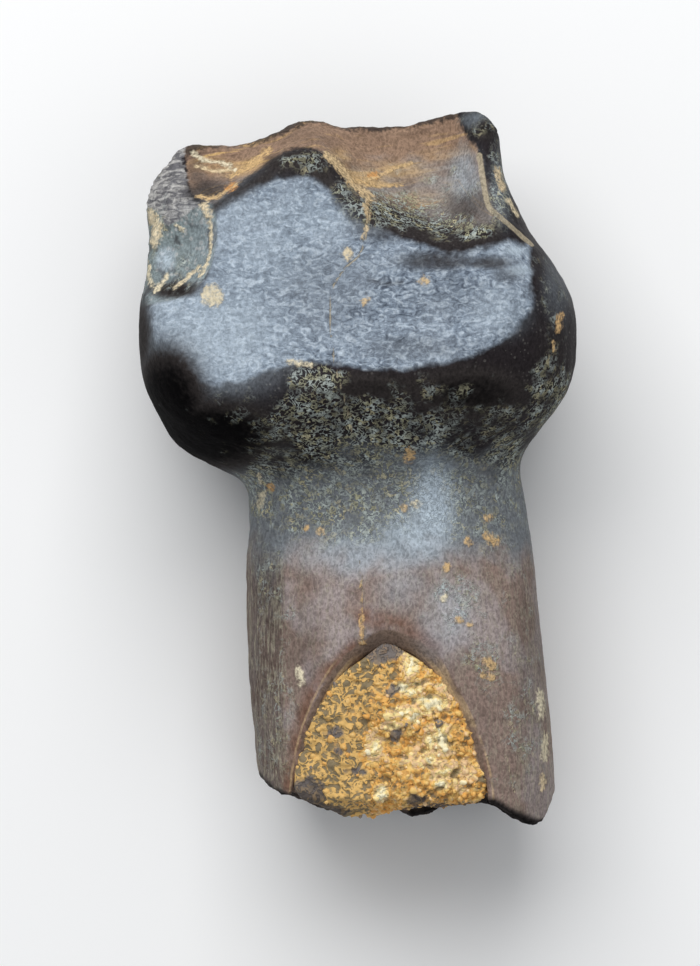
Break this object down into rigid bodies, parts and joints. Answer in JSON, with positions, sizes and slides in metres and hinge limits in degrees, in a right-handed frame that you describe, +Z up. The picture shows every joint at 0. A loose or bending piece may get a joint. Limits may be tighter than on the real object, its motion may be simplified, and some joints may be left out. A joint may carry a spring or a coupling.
{
  "type": "fossil dinosaur tooth",
  "caption": "Fossil ankylosaur tooth with a slanting worn face, hollowed upper edge, waisted neck and a broken root that is filled with hardened yellow sand, lying on its back.",
  "frame": {"origin": "centre of the bounding box's bottom, on the surface that the tooth lies on", "axes": "+Y along the tooth from the broken root to the crown's tip, +Z up, out of the worn face's side, +X to the right as the worn face is looked down on with the crown at the top"},
  "size_m": [0.0146, 0.024, 0.0113],
  "materials": {
    "dark_tooth": "mineralised enamel and dentine, satin, black to brown with a blue-grey worn face",
    "yellow_sandstone": "matt, coarse grained"
  },
  "bodies": {
    "root": {"tooth": "dark_tooth", "sediment_fill": "yellow_sandstone"}
  },
  "joints": []
}
